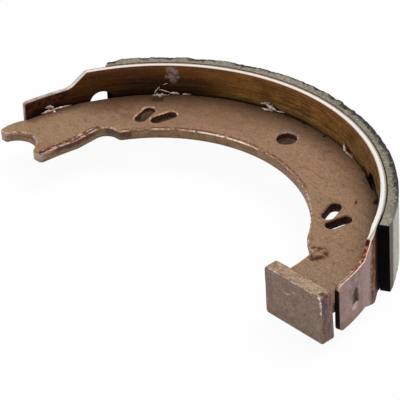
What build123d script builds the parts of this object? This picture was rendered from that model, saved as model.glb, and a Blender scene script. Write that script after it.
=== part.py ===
"""Drum brake shoe with a bonded lining, for a 160 mm drum. All sizes are millimetres.

The origin lies on the drum axis, which is Z, in the middle of the rim's width.
+Y points to the crown of the shoe. The end block is on the +X side, the notched end on -X.
"""

import os
from math import cos, radians, sin, tan

from build123d import *

# Rim strip: one strip rolled to the drum's curve, narrow at both ends
rim_inner_radius = 74.8
rim_thickness = 1.7
rim_outer_radius = rim_inner_radius + rim_thickness
rim_width = 25.4
rim_taper_depth = 8.0
taper_run_on = 1.3
# Both free ends leave the circle, outwards by the block and inwards by the notch: (angle, distance)
block_end_stand_off = [(28.4, 0.0), (25.0, 0.6), (22.0, 1.0), (14.0, 1.4), (6.2, 1.6)]
notch_end_stand_off = [(155.0, 0.0), (163.0, -0.4), (170.6, -0.5)]

# Narrowing of the strip: angles where it has its full width above and below, where it has become narrow and
# where it ends, then the narrow width and the corner radii where it narrows and at its tip
block_end_taper = {"wide": (22.1, 23.6), "narrow": 17.6, "tip": 6.2, "width": 17.4, "corners": (1.5, 2.0)}
notch_end_taper = {"wide": (152.8, 152.8), "narrow": 157.4, "tip": 170.6, "width": 14.9, "corners": (6.0, 1.2)}

# Round holes through the rim, centred on the web
rim_hole_radius = 4.2
rim_hole_angles = [59.3, 149.05]

# Web, its underside a little further from the middle of the rim than its top
web_underside = -1.95
web_top = 1.6
web_thickness = web_top - web_underside
web_gap_to_rim = 0.5
web_outer_radius = rim_inner_radius - web_gap_to_rim
web_inner_radius = 52.5
web_inner_start = 32.0
web_inner_start_fillet = 3.0
web_inner_end = 147.3
web_edge_break = 0.35
block_side_edge = [(75.1, 5.9), (52.4, 5.9), (52.2, 17.0), (51.3, 23.5), (50.0, 23.7)]
notch_side_edge = [(-50.9, 28.2), (-50.9, 15.5), (-52.3, 9.0), (-53.4, 1.1)]
step_fillet = 4.6
notch_centre = (-64.6, -0.5)
notch_radius = 7.2
notch_inner_y = 1.1
notch_outer_y = 1.6
outer_prong_corner = (-74.8, 1.6)
outer_prong_bulge = (-75.0, 6.6)
outer_prong_root = 170.2
prong_corner_radius = 1.5

# Holes in the web
hold_down_centre = (-0.3, 63.5)
hold_down_radius = 3.5
slot_length = 9.6
slot_width = 4.2
# Spring slots in two pairs that draw together towards the inner edge: (x, y, direction of the slot)
spring_slots = [(46.2, 40.5, 76.5), (40.2, 43.5, 109.0), (-46.0, 41.5, 105.5), (-40.0, 44.6, 75.5)]

# Lining and the film that bonds it
film_thickness = 0.2
lining_thickness = 3.9
lining_inner_radius = rim_outer_radius + film_thickness
lining_outer_radius = lining_inner_radius + lining_thickness
lining_start = 28.65
lining_end = 147.5
lining_edge_break = 0.3
# Each end is bevelled: (radius, angle) where the bevel starts on the end, angle where it ends
lining_notch_bevel = ((lining_outer_radius - 1.3, 146.6), 143.8)
lining_block_bevel = ((lining_outer_radius - 0.4, 28.7), 29.5)

# End block, which bears on the adjuster
block_side = [(53.0, -8.95), (78.1, -9.4), (77.2, 8.4), (52.7, 8.6)]
block_front = 0.9
block_thickness = 5.0
block_corner = 1.3
block_edge = 0.5

# Fillet weld under the web, behind the block
block_weld_leg = 4.5
block_weld_start = 56.0
block_weld_end = 74.0

# Projection welds between web and rim, at an even pitch; each was punched from the rim's back
weld_first_angle = 13.2
weld_pitch = 30.1
weld_count = 6
weld_root_inset = 0.4
# Flash of each weld, as sections: (height, half length, depth out from the rim)
weld_sections = [(-4.0, 2.6, 0.5), (-1.2, 4.6, 1.7), (1.2, 4.6, 1.7), (4.0, 2.6, 0.5)]
dimple_length = 7.2
dimple_width = 3.3
dimple_depth = 0.8
dimple_draft = 38
dimple_drop = 0.8
# The punch starts this far outside the rim, so that no skin is left over the dimple
dimple_run_in = 0.3
# Only the two narrow ends of the rim have their backs bare of lining: (weld, distance off the circle)
dimple_stand_off = {0: 1.43, 5: -0.4}


def polar(radius, angle):
    """The point at this radius and angle about the drum axis."""
    return (radius * cos(radians(angle)), radius * sin(radians(angle)))


def along_rim(angle):
    """Direction along the rim, away from the block end."""
    return (-sin(radians(angle)), cos(radians(angle)))


def stood_off(radius, stand_off):
    """Points of a free end that leaves the arc of this radius."""
    return [polar(radius + distance, angle) for angle, distance in stand_off]


def heading(stand_off):
    """Directions of a free end where it leaves the circle and at its tip."""
    turn = 1 if stand_off[-1][0] > stand_off[0][0] else -1
    ends = [along_rim(stand_off[0][0]), along_rim(stand_off[-1][0])]
    return [(turn * x, turn * y) for x, y in ends]


def radial_plane(angle, radius):
    """Plane touching the rim, facing outward: local X runs away from the block end, local Y is +Z."""
    x, y = polar(radius, angle)
    out_x, out_y = polar(1.0, angle)
    along_x, along_y = along_rim(angle)
    return Plane(origin=(x, y, 0), x_dir=(along_x, along_y, 0), z_dir=(out_x, out_y, 0))


def corner(sketch, point):
    """The sketch vertex nearest a point."""
    return sketch.vertices().sort_by_distance(point)[0]


# ---------------------------------------------------------------- web

block_end_start = block_end_stand_off[0][0]
notch_end_start = notch_end_stand_off[0][0]
prong_stand_off = notch_end_stand_off[:-1] + [(outer_prong_root, notch_end_stand_off[-1][1])]

notch_mouth_reach = (notch_radius**2 - (notch_inner_y - notch_centre[1]) ** 2) ** 0.5
notch_mouth = (notch_centre[0] + notch_mouth_reach, notch_inner_y)
notch_far_reach = (notch_radius**2 - (notch_outer_y - notch_centre[1]) ** 2) ** 0.5
notch_far = (notch_centre[0] - notch_far_reach, notch_outer_y)
notch_crown = (notch_centre[0], notch_centre[1] + notch_radius)

web_block_end = stood_off(web_outer_radius, block_end_stand_off)
web_notch_end = stood_off(web_outer_radius, prong_stand_off)
inner_start = polar(web_inner_radius, web_inner_start)
inner_middle = polar(web_inner_radius, 90.0)
inner_end = polar(web_inner_radius, web_inner_end)

with BuildPart() as web:
    with BuildSketch(Plane.XY.offset(web_underside)) as web_outline:
        with BuildLine():
            Polyline(*block_side_edge, inner_start)
            ThreePointArc(inner_start, inner_middle, inner_end)
            Polyline(inner_end, *notch_side_edge, notch_mouth)
            ThreePointArc(notch_mouth, notch_crown, notch_far)
            Line(notch_far, outer_prong_corner)
            ThreePointArc(outer_prong_corner, outer_prong_bulge, web_notch_end[-1])
            Spline(*web_notch_end, tangents=heading(prong_stand_off))
            CenterArc((0, 0), web_outer_radius, notch_end_start, block_end_start - notch_end_start)
            Spline(*web_block_end, tangents=heading(block_end_stand_off))
            Line(web_block_end[-1], block_side_edge[0])
        make_face()
        fillet(corner(web_outline, inner_start), web_inner_start_fillet)
        fillet(corner(web_outline, notch_side_edge[0]), step_fillet)
        fillet(corner(web_outline, inner_end), prong_corner_radius)
        fillet(corner(web_outline, outer_prong_corner), prong_corner_radius)
        for point in (notch_side_edge[-1], notch_mouth):
            fillet(corner(web_outline, point), prong_corner_radius)
        fillet(corner(web_outline, notch_far), prong_corner_radius / 2)
        with Locations(hold_down_centre):
            Circle(hold_down_radius, mode=Mode.SUBTRACT)
        for x, y, direction in spring_slots:
            with Locations((x, y)):
                SlotOverall(slot_length, slot_width, rotation=direction, mode=Mode.SUBTRACT)
    extrude(amount=web_thickness)
    chamfer(web.faces().sort_by(Axis.Z)[-1].edges(), web_edge_break)
web.part.label = "web"

# ---------------------------------------------------------------- rim strip, rolled, tapered and pierced

rim_arc = notch_end_start - block_end_start
outer_block_end = stood_off(rim_outer_radius, block_end_stand_off)
inner_block_end = stood_off(rim_inner_radius, block_end_stand_off)
outer_notch_end = stood_off(rim_outer_radius, notch_end_stand_off)
inner_notch_end = stood_off(rim_inner_radius, notch_end_stand_off)


def taper_outline(taper):
    """Outline of the metal that stays, on the plane at the taper's middle; it runs on past the edges."""
    wide_above, wide_below = taper["wide"]
    middle = (wide_above + taper["tip"]) / 2
    angles = (wide_above, wide_below, taper["narrow"], taper["tip"])
    above, below, narrow_x, tip_x = (rim_outer_radius * sin(radians(angle - middle)) for angle in angles)
    narrow = taper["width"] / 2
    past_z = narrow + taper_run_on * (rim_width / 2 - narrow)
    above_x = narrow_x + taper_run_on * (above - narrow_x)
    below_x = narrow_x + taper_run_on * (below - narrow_x)
    start_x = 1.1 * max(above_x, below_x, key=abs)
    return middle, [
        (start_x, past_z),
        (above_x, past_z),
        (narrow_x, narrow),
        (tip_x, narrow),
        (tip_x, -narrow),
        (narrow_x, -narrow),
        (below_x, -past_z),
        (start_x, -past_z),
    ]


with BuildPart() as strip:
    with BuildSketch(Plane.XY.offset(-rim_width / 2)):
        with BuildLine():
            for radius, block_end, notch_end in (
                (rim_outer_radius, outer_block_end, outer_notch_end),
                (rim_inner_radius, inner_block_end, inner_notch_end),
            ):
                CenterArc((0, 0), radius, block_end_start, rim_arc)
                Spline(*block_end, tangents=heading(block_end_stand_off))
                Spline(*notch_end, tangents=heading(notch_end_stand_off))
            Line(outer_notch_end[-1], inner_notch_end[-1])
            Line(outer_block_end[-1], inner_block_end[-1])
        make_face()
    extrude(amount=rim_width)
    for taper in (block_end_taper, notch_end_taper):
        middle, kept = taper_outline(taper)
        start_x = kept[0][0]
        tip_x = kept[3][0]
        beyond_x = tip_x + (tip_x - start_x)
        with BuildSketch(radial_plane(middle, rim_outer_radius)) as trim:
            with Locations(((start_x + beyond_x) / 2, 0)):
                Rectangle(abs(beyond_x - start_x), 2 * rim_width)
            with BuildLine():
                Polyline(*kept, close=True)
            make_face(mode=Mode.SUBTRACT)
            narrowing_corner, tip_corner = taper["corners"]
            for point in (kept[2], kept[5]):
                fillet(corner(trim, point), narrowing_corner)
            for point in (kept[3], kept[4]):
                fillet(corner(trim, point), tip_corner)
        extrude(amount=rim_taper_depth, both=True, mode=Mode.SUBTRACT)
    for angle in rim_hole_angles:
        with BuildSketch(radial_plane(angle, rim_inner_radius)):
            Circle(rim_hole_radius)
        extrude(amount=2 * rim_thickness, both=True, mode=Mode.SUBTRACT)

# ---------------------------------------------------------------- lining and its bond

with BuildPart() as adhesive_film:
    with BuildSketch(Plane.XY.offset(-rim_width / 2)):
        with BuildLine():
            CenterArc((0, 0), rim_outer_radius, lining_start, lining_end - lining_start)
            Line(polar(rim_outer_radius, lining_end), polar(lining_inner_radius, lining_end))
            CenterArc((0, 0), lining_inner_radius, lining_start, lining_end - lining_start)
            Line(polar(lining_inner_radius, lining_start), polar(rim_outer_radius, lining_start))
        make_face()
    extrude(amount=rim_width)
adhesive_film.part.label = "adhesive_film"

with BuildPart() as lining:
    with BuildSketch(Plane.XY.offset(-rim_width / 2)):
        with BuildLine():
            CenterArc((0, 0), lining_inner_radius, lining_start, lining_end - lining_start)
            bevels = {lining_start: lining_block_bevel, lining_end: lining_notch_bevel}
            for end, (root, bevel_end) in bevels.items():
                Polyline(polar(lining_inner_radius, end), polar(*root), polar(lining_outer_radius, bevel_end))
            worn_arc = lining_notch_bevel[1] - lining_block_bevel[1]
            CenterArc((0, 0), lining_outer_radius, lining_block_bevel[1], worn_arc)
        make_face()
    extrude(amount=rim_width)
    worn_face = lining.faces().sort_by_distance((0, lining_outer_radius, 0))[0]
    chamfer(worn_face.edges().filter_by(GeomType.CIRCLE), lining_edge_break)
lining.part.label = "lining"

# ---------------------------------------------------------------- end block and its weld

with BuildPart() as end_block:
    with BuildSketch(Plane.XZ.offset(-block_front)) as block_outline:
        with BuildLine():
            Polyline(*block_side, close=True)
        make_face()
        fillet(block_outline.vertices(), block_corner)
    extrude(amount=-block_thickness)
    fillet(end_block.faces().sort_by(Axis.Y)[0].edges(), block_edge)
    fillet(end_block.faces().sort_by(Axis.Y)[-1].edges(), block_edge)
end_block.part.label = "end_block"

block_back = block_front + block_thickness

with BuildPart() as block_weld:
    with BuildSketch(Plane.YZ.offset(block_weld_start)):
        with BuildLine():
            Line((block_back, web_underside), (block_back + block_weld_leg, web_underside))
            RadiusArc(
                (block_back + block_weld_leg, web_underside),
                (block_back, web_underside - block_weld_leg),
                2 * block_weld_leg,
            )
            Line((block_back, web_underside - block_weld_leg), (block_back, web_underside))
        make_face()
    extrude(amount=block_weld_end - block_weld_start)
block_weld.part.label = "block_weld"

# ---------------------------------------------------------------- projection welds

rim_welds = []
for weld in range(weld_count):
    weld_angle = weld_first_angle + weld * weld_pitch
    x, y = polar(rim_inner_radius + dimple_stand_off.get(weld, 0.0), weld_angle)
    along_x, along_y = along_rim(weld_angle)
    with BuildPart() as flash:
        for height, half_length, depth in weld_sections:
            with BuildSketch(Plane(origin=(x, y, height), x_dir=(along_x, along_y, 0), z_dir=(0, 0, 1))):
                with BuildLine():
                    root = (half_length, -weld_root_inset)
                    far_root = (-half_length, -weld_root_inset)
                    ThreePointArc(root, (0, depth), far_root)
                    Line(far_root, root)
                make_face()
        loft(ruled=True)
        add(web.part, mode=Mode.SUBTRACT)
        add(strip.part, mode=Mode.SUBTRACT)
    flash.part.label = f"rim_weld_{weld + 1}"
    rim_welds.append(flash.part)

# ---------------------------------------------------------------- rim, with its weld dimples

dimple_widening = 2 * dimple_run_in * tan(radians(dimple_draft))

with BuildPart() as rim:
    add(strip.part)
    for weld, stand_off in dimple_stand_off.items():
        start_radius = rim_outer_radius + stand_off + dimple_run_in
        with BuildSketch(radial_plane(weld_first_angle + weld * weld_pitch, start_radius)):
            with Locations((0, -dimple_drop)):
                SlotOverall(dimple_length + dimple_widening, dimple_width + dimple_widening, rotation=90)
        extrude(amount=-dimple_depth - dimple_run_in, taper=dimple_draft, mode=Mode.SUBTRACT)
rim.part.label = "rim"

# ---------------------------------------------------------------- export

os.makedirs("parts", exist_ok=True)
export_step(web.part, "parts/web.step")
export_step(rim.part, "parts/rim.step")
export_step(adhesive_film.part, "parts/adhesive_film.step")
export_step(lining.part, "parts/lining.step")
export_step(end_block.part, "parts/end_block.step")
export_step(block_weld.part, "parts/block_weld.step")
for bead in rim_welds:
    export_step(bead, f"parts/{bead.label}.step")
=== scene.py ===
"""Finish and studio for a drum brake shoe with a bonded lining.

Lengths are millimetres in the shoe's own frame (drum axis = Z, crown = +Y) and become metres in each mesh.
"""

from math import cos, degrees, radians, sin

import bmesh
import bpy
import numpy as np
from mathutils import Matrix, Vector


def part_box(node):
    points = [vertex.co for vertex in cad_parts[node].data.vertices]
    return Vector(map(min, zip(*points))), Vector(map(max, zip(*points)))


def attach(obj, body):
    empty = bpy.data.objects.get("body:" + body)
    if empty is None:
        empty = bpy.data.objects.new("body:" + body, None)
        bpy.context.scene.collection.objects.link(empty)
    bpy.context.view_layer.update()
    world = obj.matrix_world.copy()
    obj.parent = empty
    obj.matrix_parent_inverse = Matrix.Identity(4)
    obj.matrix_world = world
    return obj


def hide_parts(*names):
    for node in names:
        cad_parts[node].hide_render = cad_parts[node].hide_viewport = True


MM = 0.001

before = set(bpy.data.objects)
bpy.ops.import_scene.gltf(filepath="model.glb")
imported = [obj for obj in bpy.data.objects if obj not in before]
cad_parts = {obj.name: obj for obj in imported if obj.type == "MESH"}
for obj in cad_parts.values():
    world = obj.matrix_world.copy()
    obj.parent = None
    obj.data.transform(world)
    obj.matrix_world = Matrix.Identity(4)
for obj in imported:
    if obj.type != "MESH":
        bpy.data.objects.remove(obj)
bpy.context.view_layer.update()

# Sizes taken from the frame
web_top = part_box("web")[1].z / MM
rim_low, rim_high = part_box("rim")
rim_half_width = rim_high.z / MM
lining_outer_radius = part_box("lining")[1].y / MM

# Surfaces that carry marks: the rim's inner face, the web's top and the block's front
rim_inner_radius = 74.8
web_mark_height = 1.6
block_front = 0.9


def srgb(red, green, blue):
    """Linear colour of an sRGB colour given in 0 to 255."""

    def linear(level):
        return level / 255 / 12.92 if level <= 10 else ((level / 255 + 0.055) / 1.055) ** 2.4

    return (linear(red), linear(green), linear(blue), 1.0)


# ---------------------------------------------------------------- shader maths


def operator(operation, reflected=False):
    """Arithmetic between a value and another value or number, as a Math node."""

    def act(value, other):
        pair = [other, value] if reflected else [value, other]
        return value.finish.node("ShaderNodeMath", {"operation": operation}, pair)

    return act


class Value:
    """An output of a finish's nodes. Arithmetic on it adds Math nodes; numbers alone stay in Python."""

    __add__ = __radd__ = operator("ADD")
    __sub__ = operator("SUBTRACT")
    __rsub__ = operator("SUBTRACT", reflected=True)
    __mul__ = __rmul__ = operator("MULTIPLY")
    __truediv__ = operator("DIVIDE")
    __pow__ = operator("POWER")

    def __init__(self, finish, socket):
        self.finish = finish
        self.socket = socket

    def maths(self, operation, *others):
        """This value and others put through one operation of a Math node."""
        return self.finish.node("ShaderNodeMath", {"operation": operation}, [self, *others])

    def rise(self, start, end):
        """0 at start, 1 at end, and an even S between; start may be the larger."""
        ends = [start, end, 0.0, 1.0] if start < end else [end, start, 1.0, 0.0]
        return self.finish.node("ShaderNodeMapRange", {"interpolation_type": "SMOOTHSTEP"}, [self, *ends])

    def band(self, start, full, last, end):
        """0 at start, 1 from full to last, and 0 again at end."""
        return self.rise(start, full) * self.rise(end, last)


class Coat:
    """A colour that is built up in layers: each covers the ones below as far as its mask says."""

    def __init__(self, finish, colour):
        self.finish = finish
        self.colour = colour

    def add(self, mask, colour):
        """Covers the coat with a colour or another coat, as far as the mask says."""
        self.colour = self.finish.mix(mask, self.colour, colour)

    def shade(self, factor):
        """Makes the colour lighter or darker by a factor."""
        self.colour = self.finish.vector_maths("SCALE", self.colour, factor)


class Finish:
    """One procedural material, with the coordinates and patterns that finishes share."""

    def __init__(self, name, specular=0.5):
        self.material = bpy.data.materials.new(name)
        self.material.use_nodes = True
        self.tree = self.material.node_tree
        self.tree.nodes.clear()
        self.shader = self.tree.nodes.new("ShaderNodeBsdfPrincipled")
        self.shader.inputs["Specular IOR Level"].default_value = specular
        output = self.tree.nodes.new("ShaderNodeOutputMaterial")
        self.tree.links.new(self.shader.outputs[0], output.inputs["Surface"])
        self.mm = self.vector_maths("SCALE", self.node("ShaderNodeTexCoord", output="Object"), 1 / MM)
        self.x, self.y, self.z = (self.part(self.mm, axis) for axis in "XYZ")
        self.normal = self.node("ShaderNodeNewGeometry", output="Normal")
        self.facing_up = self.part(self.normal, "Z")

    def node(self, kind, settings=None, inputs=None, output=0):
        """Adds a node: its settings first, then the values or links of its sockets."""
        made = self.tree.nodes.new(kind)
        for key, value in (settings or {}).items():
            setattr(made, key, value)
        pairs = inputs.items() if isinstance(inputs, dict) else enumerate(inputs or [])
        for key, value in pairs:
            self.feed(made.inputs[key], value)
        return Value(self, made.outputs[output])

    def feed(self, socket, value):
        """Links a value to a socket, or sets the socket to a plain number or vector."""
        if isinstance(value, Value):
            self.tree.links.new(value.socket, socket)
        else:
            socket.default_value = value

    def set(self, **sockets):
        """Feeds the shader: base_color=, roughness=, metallic=, normal= and so on."""
        for name, value in sockets.items():
            self.feed(self.shader.inputs[name.replace("_", " ").title()], value)

    def finished(self, coat, roughness, height, depth, metallic=0.0):
        """The material in this coat, with a bump whose height in 0 to 1 stands for depth millimetres."""
        normal = self.node("ShaderNodeBump", {}, {"Height": height, "Distance": depth * MM})
        self.set(base_color=coat.colour, roughness=roughness, metallic=metallic, normal=normal)
        return self.material

    def vector_maths(self, operation, first, second):
        """Vector Math on two vectors, or on a vector and a number for SCALE."""
        sockets = {"Vector": first, "Scale": second} if operation == "SCALE" else [first, second]
        output = "Value" if operation in ("DOT_PRODUCT", "DISTANCE") else 0
        return self.node("ShaderNodeVectorMath", {"operation": operation}, sockets, output)

    def part(self, vector, axis):
        """One component of a vector: X, Y or Z."""
        return self.node("ShaderNodeSeparateXYZ", {}, [vector], output=axis)

    def noise(self, scale, detail=3.0, roughness=0.5, at=None, shift=0.0):
        """Noise of about 1 / scale millimetres, in 0 to 1."""
        place = self.mm if at is None else at
        if shift:
            place = self.vector_maths("ADD", place, (shift, -shift, 0.5 * shift))
        sockets = {"Vector": place, "Scale": scale, "Detail": detail, "Roughness": roughness}
        return self.node("ShaderNodeTexNoise", {}, sockets)

    def mix(self, mask, under, over):
        """Colour over on colour under, as far as the mask says; three numbers are an sRGB colour."""
        sockets = {0: mask, 6: under, 7: over}
        for key, colour in sockets.items():
            if isinstance(colour, Coat):
                sockets[key] = colour.colour
            elif isinstance(colour, tuple):
                sockets[key] = srgb(*colour)
        return self.node("ShaderNodeMix", {"data_type": "RGBA"}, sockets, output=2)

    def coat(self, mask, under, over):
        """The first layer of a coat: two colours mixed."""
        return Coat(self, self.mix(mask, under, over))

    def stretched(self, x, y, z):
        """Coordinates in millimetres, multiplied along each axis."""
        return self.vector_maths("MULTIPLY", self.mm, (x, y, z))

    def distance(self, point):
        """Distance from a point, in millimetres."""
        return self.vector_maths("DISTANCE", self.mm, point)

    def spot(self, point, radius, edge):
        """1 within radius of a point, falling to 0 over edge."""
        return self.distance(point).rise(radius + edge, radius)

    def stroke(self, start, end, radius, edge, ragged=0.0, rough=None):
        """1 within radius of the line from start to end, falling to 0 over edge; rough noise frays it."""
        length = Vector(end) - Vector(start)
        offset = self.vector_maths("SUBTRACT", self.mm, start)
        share = self.vector_maths("DOT_PRODUCT", offset, length) / length.length_squared
        share = share.maths("MAXIMUM", 0.0).maths("MINIMUM", 1.0)
        away = self.vector_maths("DISTANCE", offset, self.vector_maths("SCALE", tuple(length), share))
        if rough is not None:
            away = away + (rough - 0.5) * ragged
        return away.rise(radius + edge, radius)

    def marker(self, place, rough):
        """Makes strokes in one surface, frayed by the same noise; place turns two numbers into a point."""

        def mark(first, second, last_first, last_second, radius, edge, ragged):
            start, end = place(first, second), place(last_first, last_second)
            return self.stroke(start, end, radius, edge, ragged, rough)

        return mark

    def attribute(self, name):
        """A number kept at each point of the piece's mesh."""
        return self.node("ShaderNodeAttribute", {"attribute_name": name}, output="Fac")

    def radius(self):
        """Distance from the drum axis, in millimetres: the root of x squared plus y squared."""
        return (self.x * self.x + self.y * self.y) ** 0.5

    def facing_out(self):
        """1 where the surface faces away from the drum axis, -1 where it faces the axis."""
        across = self.node("ShaderNodeCombineXYZ", {}, [self.x, self.y, 0.0])
        outward = self.node("ShaderNodeVectorMath", {"operation": "NORMALIZE"}, [across])
        return self.vector_maths("DOT_PRODUCT", outward, self.normal)

    def angle(self):
        """Angle about the drum axis, in degrees, from the block's side."""
        return self.y.maths("ARCTAN2", self.x) * degrees(1.0)

    def along(self, stretch, across, radius=75.0):
        """Coordinates rolled out: (arc length x stretch, height x across, radius x across)."""
        arc = self.angle() * radians(radius) * stretch
        return self.node("ShaderNodeCombineXYZ", {}, [arc, self.z * across, self.radius() * across])


# ---------------------------------------------------------------- finishes


def on_arc(radius, angle, height):
    """Point at this radius and angle about the drum axis, in millimetres."""
    return (radius * cos(radians(angle)), radius * sin(radians(angle)), height)


def on_rim(angle, height):
    """Point on the rim's inner face."""
    return on_arc(rim_inner_radius, angle, height)


def on_web(x, y):
    """Point on the web's top."""
    return (x, y, web_mark_height)


def either(*masks):
    """The stronger of several masks."""
    strongest = masks[0]
    for mask in masks[1:]:
        strongest = strongest.maths("MAXIMUM", mask)
    return strongest


# Spring slots of the web: (x, y, direction), and from a slot's middle to the centre of its round end
spring_slots = [(46.2, 40.5, 76.5), (40.2, 43.5, 109.0), (-46.0, 41.5, 105.5), (-40.0, 44.6, 75.5)]
slot_half_run = 2.7
hold_down_hole = (-0.3, 63.5)


def web_paint():
    """Satin brown primer: mottled, with painted shade under the rim, rubbed pale on its edges, rusted in
    places.
    """
    f = Finish("web_paint", 0.22)
    grain = f.noise(2, 4, 0.72)
    speckle = f.noise(1.05, 3, 0.65, shift=23)
    mottle = f.noise(0.4, 4, 0.62, shift=11)
    cloud = f.noise(0.07, 2, shift=5)
    fray = f.noise(1.3, 5, 0.75, shift=3)
    sway = fray - 0.5
    mark = f.marker(on_web, fray)

    def zone(ragged, start, full, *angles):
        """Frayed zone that begins between two radii, inside a band of angles."""
        return (radius + sway * ragged).rise(start, full) * angle.band(*angles)

    flecks = f.noise(2.6, 3, 0.7, shift=31)
    radius = f.radius()
    angle = f.angle()
    top = f.facing_up.rise(0.8, 0.97)
    wall = f.facing_up.rise(0.35, 0.1)

    tone = f.coat(cloud.rise(0.35, 0.65), (149, 119, 90), (155, 119, 92))
    tone.add(f.x.rise(-36, -58) * 0.85, (157, 129, 99))
    tone.add(f.y.rise(30, 8) * f.x.rise(40, 56) * 0.8, (152, 125, 101))
    # Painted shade at the crown, darker towards the rim
    tone.add(angle.band(90, 110, 126, 146) * radius.rise(52, 66) * 0.6, (124, 90, 64))
    drawn = f.noise(1, 4, 0.6, at=f.stretched(0.22, 0.55, 0.5), shift=41)
    tone.add(drawn.rise(0.5, 0.64) * 0.5, (126, 94, 72))
    tone.add(drawn.rise(0.46, 0.34) * 0.4, (156, 130, 102))
    tone.add(mottle.rise(0.52, 0.66) * 0.35, (128, 84, 62))
    tone.add(speckle.rise(0.54, 0.66) * 0.24, (138, 96, 74))
    tone.add(speckle.rise(0.46, 0.34) * 0.12, (154, 130, 102))

    # Painted shade under the rim, a painted shadow band beside it on the right, rust by the notch, and dark
    # joints, heavy where the joint stands open
    shade = radius.rise(60, 75.5) * angle.band(20, 34, 146, 160)
    tone.add(shade * (0.28 + 0.34 * angle.rise(66, 90)), (88, 62, 42))
    notch_shade = radius.rise(63, 73.5) * angle.band(118, 132, 150, 162)
    tone.add(notch_shade * 0.6, (86, 54, 38))
    notch_rust = f.spot(on_web(-55, 39), 4, 9) * drawn.rise(0.36, 0.6)
    tone.add(notch_rust * 0.6, (98, 58, 42))
    # Painted shadow of the rim: a dark band on the web beside it, on the right
    shadow_band_and_black_ends = zone(2.2, 70.8, 74, 26, 36, 54, 66)
    tone.add(shadow_band_and_black_ends * 0.34, (62, 44, 32))
    joint = (radius + sway * 1).rise(73.6, 74.3) * angle.rise(168, 150)
    tone.add(joint * (0.1 + 0.55 * angle.rise(88, 108)), (46, 32, 22))
    # Dark cracks, and a near-black stroke by the rim's bore painted for the shadow in the open joint
    cracks_and_gap_shadow = either(
        mark(30.8, 67.8, 33.6, 66.5, 0.45, 0.3, 0.7),
        mark(46.6, 57.8, 47.3, 56.2, 0.6, 0.4, 1.2),
        f.stroke(on_arc(74.3, 62, 1.4), on_arc(74.3, 56.2, 1.4), 0.7, 0.4, 0.6, fray),
    )
    joint_rust = zone(2.2, 69.2, 73.4, 153, 158, 170, 172)
    tone.add(joint_rust * 0.85, (92, 58, 44))
    seam = zone(0.8, 73.4, 73.9, 152, 158, 169, 171)
    tone.add(seam * 0.85, (50, 20, 15))
    joint_specks = fray.rise(0.58, 0.66) * radius.rise(70.5, 73) * angle.rise(148, 156)
    tone.add(joint_specks * 0.7, (110, 62, 44))

    # Walls: a sheared band above a torn one, olive at the notch side
    layers = f.noise(1, 4, 0.65, at=f.along(0.14, 2.6, 55))
    wall_tone = f.coat(angle.rise(84, 64), (134, 104, 74), (146, 113, 91))
    wall_tone.add(f.x.rise(-44, -50) * 0.6, (150, 122, 92))
    rolled_top = (f.z + sway * 1.2).rise(0.2, 1) * f.x.rise(-50.5, -53)
    wall_tone.add(rolled_top * 0.8, (196, 160, 136))
    beaten = either(f.spot((-74.6, 2.6, 0), 1.6, 2), f.spot((-55.6, 1.6, -0.2), 1.6, 1.8))
    wall_tone.add(beaten * fray.rise(0.36, 0.56) * 0.8, (186, 170, 164))
    wall_tone.add(f.z.rise(-0.9, -1.8) * 0.45, (96, 72, 54))
    wall_tone.add(layers.rise(0.5, 0.68) * 0.6, (98, 70, 50))
    wall_tone.add(layers.rise(0.44, 0.32) * 0.45, (176, 146, 120))
    rusty_side = f.x.rise(-46, -50) * f.y.band(4, 8, 22, 27) * (f.z + sway * 3.4).rise(-0.9, 0.2)
    wall_tone.add(rusty_side * 0.9, f.mix(fray.rise(0.42, 0.6), (96, 50, 42), (58, 32, 34)))
    dip = f.spot((-47.2, 29.4, 0), 2.6, 2.4) * f.z.rise(-1.88, -1.6)
    wall_tone.add(dip * (0.6 + 0.4 * mottle.rise(0.4, 0.6)), (92, 88, 48))
    purple = f.stroke((-48.6, 27.4, 0.2), (-47.2, 27.9, 0.2), 0.7, 0.9, 2.4, fray)
    wall_tone.add(purple * 0.8, (78, 52, 62))
    red_patch = f.stroke((-44.6, 29.6, 0.2), (-42.4, 30.6, 0.2), 0.9, 1.2, 3.4, fray)
    wall_tone.add(red_patch * 0.8, (86, 46, 38))
    tone.add(wall, wall_tone)

    # Slots and the hold-down hole: grime and painted shade inside, darkest high up
    hole = f.spot((*hold_down_hole, 0), 4, 0.3)
    grime_and_shade = f.coat(fray.rise(0.42, 0.6), (82, 34, 24), (30, 9, 8))
    grime_and_shade.add(flecks.rise(0.6, 0.68) * 0.7, (160, 108, 86))
    inside = hole
    for x, y, direction in spring_slots:
        middle = Vector((x, y, 0))
        run = Vector(on_arc(1, direction, 0)) * slot_half_run
        slot = f.stroke(middle - run, middle + run, 3, 0.3)
        foot = -2.2 if x > 0 else (-0.9 if x < -43 else -1.7)
        filled = f.z + sway * 2.4 + f.y.rise(42.6, 40.4) * 1.6
        filling = grime_and_shade if x < 0 else f.mix(mottle.rise(0.4, 0.56), grime_and_shade, (20, 6, 5))
        tone.add(slot * wall * filled.rise(foot, foot + 1.2) * 0.96, filling)
        inside = either(inside, slot)
    tone.add(hole * wall * (f.z + sway * 1.2).rise(-1.2, -0.2) * 0.95, (52, 14, 14))
    hole_lip = f.spot(on_web(*hold_down_hole), 4, 0.9) * (f.y - f.x * 0.5).rise(63.4, 65.4)
    tone.add(hole_lip * (1 - wall) * 0.75, f.mix(flecks.rise(0.4, 0.6), (116, 76, 78), (172, 142, 142)))
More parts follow.
